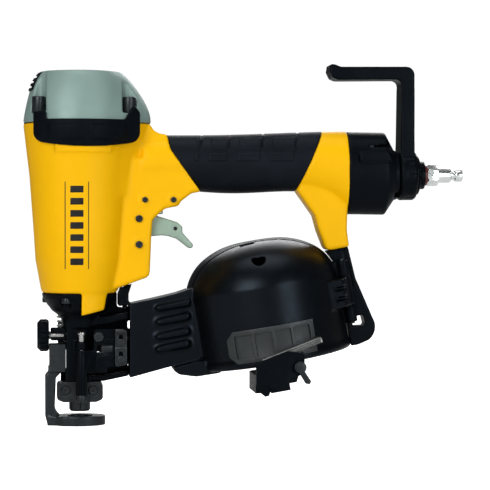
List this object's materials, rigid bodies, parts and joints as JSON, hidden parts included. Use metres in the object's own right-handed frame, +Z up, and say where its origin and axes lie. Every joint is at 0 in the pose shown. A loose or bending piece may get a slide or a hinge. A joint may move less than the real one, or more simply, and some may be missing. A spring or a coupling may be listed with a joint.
{
  "type": "coil roofing nail gun",
  "caption": "Air-powered nail gun with a round hinged coil magazine under a rubber-covered pistol handle, a swivelling rafter hook, a contact foot and a depth dial.",
  "frame": {"origin": "centre of the muzzle bore at its mouth", "axes": "+Z up along the drive axis away from the work, +X from the nose towards the handle's tail and the air inlet, -Y on the side where the magazine opens"},
  "size_m": [0.3303, 0.1367, 0.2688],
  "materials": {
    "yellow_paint": "satin",
    "grey_green_paint": "satin",
    "grip_rubber": "matt",
    "black_plastic": "satin",
    "gloss_black": "gloss",
    "grey_plastic": "satin",
    "trigger_paint": "satin",
    "black_paint": "satin",
    "dark_steel": "oiled",
    "bright_steel": "satin",
    "plug_chrome": "polished",
    "aluminium": "machined",
    "seal_rubber": "matt",
    "urethane": "satin",
    "red_plastic": "satin"
  },
  "bodies": {
    "tool": {"housing": "yellow_paint", "grip": "grip_rubber", "cap_gasket": "seal_rubber", "cap": "grey_green_paint", "cap_screws": "dark_steel", "cap_guards": "grip_rubber", "exhaust_deflector": "black_plastic", "cylinder_sleeve": "aluminium", "cylinder_seals": "seal_rubber", "bumper": "urethane", "head_valve_spring": "bright_steel", "trigger_valve_body": "black_plastic", "valve_spring": "bright_steel", "frame_pins": "dark_steel", "nose_body": "black_paint", "nose_screws": "dark_steel", "nose_tip": "dark_steel", "door_hinge_pin": "bright_steel", "dial_shaft": "bright_steel", "feed_cylinder": "black_paint", "feed_cylinder_cap": "dark_steel", "feed_spring": "bright_steel", "trip_spring": "bright_steel", "canister_base": "black_plastic", "strip_channel": "black_paint", "canister_hinge_pin": "bright_steel", "platform_post": "black_plastic", "rear_bracket": "black_paint", "handle_cap": "black_plastic", "handle_cap_screws": "dark_steel", "inlet_bushing": "black_paint", "inlet_ring": "red_plastic", "air_plug": "plug_chrome"},
    "piston": {"piston": "aluminium", "piston_ring": "seal_rubber", "driver": "bright_steel"},
    "head_valve": {"head_valve": "black_plastic"},
    "trigger": {"trigger": "trigger_paint", "trip_lever_pin": "bright_steel"},
    "trip_lever": {"trip_lever": "dark_steel"},
    "valve_stem": {"valve_stem": "bright_steel"},
    "contact_trip": {"contact_foot": "dark_steel", "trip_arm": "dark_steel"},
    "depth_dial": {"depth_dial": "black_plastic"},
    "feed_piston": {"feed_piston": "dark_steel", "feed_pawl_pin": "bright_steel"},
    "feed_pawl": {"feed_pawl": "dark_steel"},
    "nose_door": {"nose_door": "black_paint", "check_pawl_pin": "bright_steel", "door_screws": "dark_steel"},
    "check_pawl": {"check_pawl": "dark_steel"},
    "door_latch": {"door_latch": "dark_steel"},
    "canister_cover": {"canister_cover": "gloss_black", "guide_frame": "grey_plastic", "guide_rail": "bright_steel"},
    "shingle_guide": {"shingle_guide": "black_paint", "guide_screw": "dark_steel"},
    "guide_lever": {"guide_lever": "dark_steel"},
    "nail_platform": {"nail_platform": "black_plastic"},
    "rafter_hook": {"rafter_hook": "black_paint"}
  },
  "joints": [
    {"name": "piston_stroke", "type": "slide", "parent": "tool", "child": "piston", "axis": [0, 0, -1], "range_m": [0, 0.063]},
    {"name": "head_valve_lift", "type": "slide", "parent": "tool", "child": "head_valve", "axis": [0, 0, 1], "range_m": [0, 0.005], "stiffness_N_per_m": 400, "springref_m": -0.004, "deforming": ["head_valve_spring"]},
    {"name": "trigger_pull", "type": "hinge", "parent": "tool", "child": "trigger", "pos_m": [0.0435, 0, 0.1429], "axis": [0, -1, 0], "range_deg": [0, 8], "stiffness_Nm_per_rad": 0.4, "springref_deg": -8.59},
    {"name": "trip_lever_swing", "type": "hinge", "parent": "trigger", "child": "trip_lever", "pos_m": [0.071, 0, 0.1354], "axis": [0, 1, 0], "range_deg": [0, 5], "stiffness_Nm_per_rad": 0.05, "springref_deg": -5.73},
    {"name": "valve_stem_press", "type": "slide", "parent": "tool", "child": "valve_stem", "axis": [0, 0, 1], "range_m": [0, 0.0015], "deforming": ["valve_spring"]},
    {"name": "contact_trip_push", "type": "slide", "parent": "tool", "child": "contact_trip", "axis": [0, 0, 1], "range_m": [0, 0.01], "stiffness_N_per_m": 1500, "springref_m": -0.02, "deforming": ["trip_spring"]},
    {"name": "depth_dial_turn", "type": "hinge", "parent": "tool", "child": "depth_dial", "pos_m": [-0.027, 0, 0.0563], "axis": [1, 0, 0], "continuous": true},
    {"name": "feed_stroke", "type": "slide", "parent": "tool", "child": "feed_piston", "axis": [0.9703, 0, 0.2419], "range_m": [0, 0.01], "stiffness_N_per_m": 300, "springref_m": -0.01, "deforming": ["feed_spring"]},
    {"name": "feed_pawl_swing", "type": "hinge", "parent": "feed_piston", "child": "feed_pawl", "pos_m": [0.01739, 0.0164, 0.0381], "axis": [0.2419, 0, -0.9703], "range_deg": [0, 10], "stiffness_Nm_per_rad": 0.02, "springref_deg": -5.73},
    {"name": "nose_door_swing", "type": "hinge", "parent": "tool", "child": "nose_door", "pos_m": [0.001, -0.015, 0.029], "axis": [0, 0, -1], "range_deg": [0, 110]},
    {"name": "check_pawl_swing", "type": "hinge", "parent": "nose_door", "child": "check_pawl", "pos_m": [0.0276, -0.0093, 0.0465], "axis": [0, 0, 1], "range_deg": [0, 12], "stiffness_Nm_per_rad": 0.02, "springref_deg": -5.73},
    {"name": "door_latch_slide", "type": "slide", "parent": "nose_door", "child": "door_latch", "axis": [0, 0, -1], "range_m": [0, 0.004]},
    {"name": "canister_cover_swing", "type": "hinge", "parent": "tool", "child": "canister_cover", "pos_m": [0.20656, -0.01, 0.04757], "axis": [-0.165, 0, 0.9863], "range_deg": [0, 80]},
    {"name": "shingle_guide_slide", "type": "slide", "parent": "canister_cover", "child": "shingle_guide", "axis": [0.9336, 0, 0.3584], "range_m": [0, 0.008]},
    {"name": "guide_lever_turn", "type": "hinge", "parent": "shingle_guide", "child": "guide_lever", "pos_m": [0.157, -0.066, 0.036], "axis": [0, -1, 0], "range_deg": [0, 70]},
    {"name": "nail_platform_lift", "type": "slide", "parent": "tool", "child": "nail_platform", "axis": [-0.165, 0, 0.9863], "range_m": [0, 0.018]},
    {"name": "rafter_hook_swing", "type": "hinge", "parent": "tool", "child": "rafter_hook", "pos_m": [0.246, 0, 0.1754], "axis": [1, 0, 0], "range_deg": [-90, 90]}
  ],
  "couplings": [
    {"joint": "valve_stem_press", "follows": "trigger_pull", "m_per_rad": 0.0107}
  ]
}
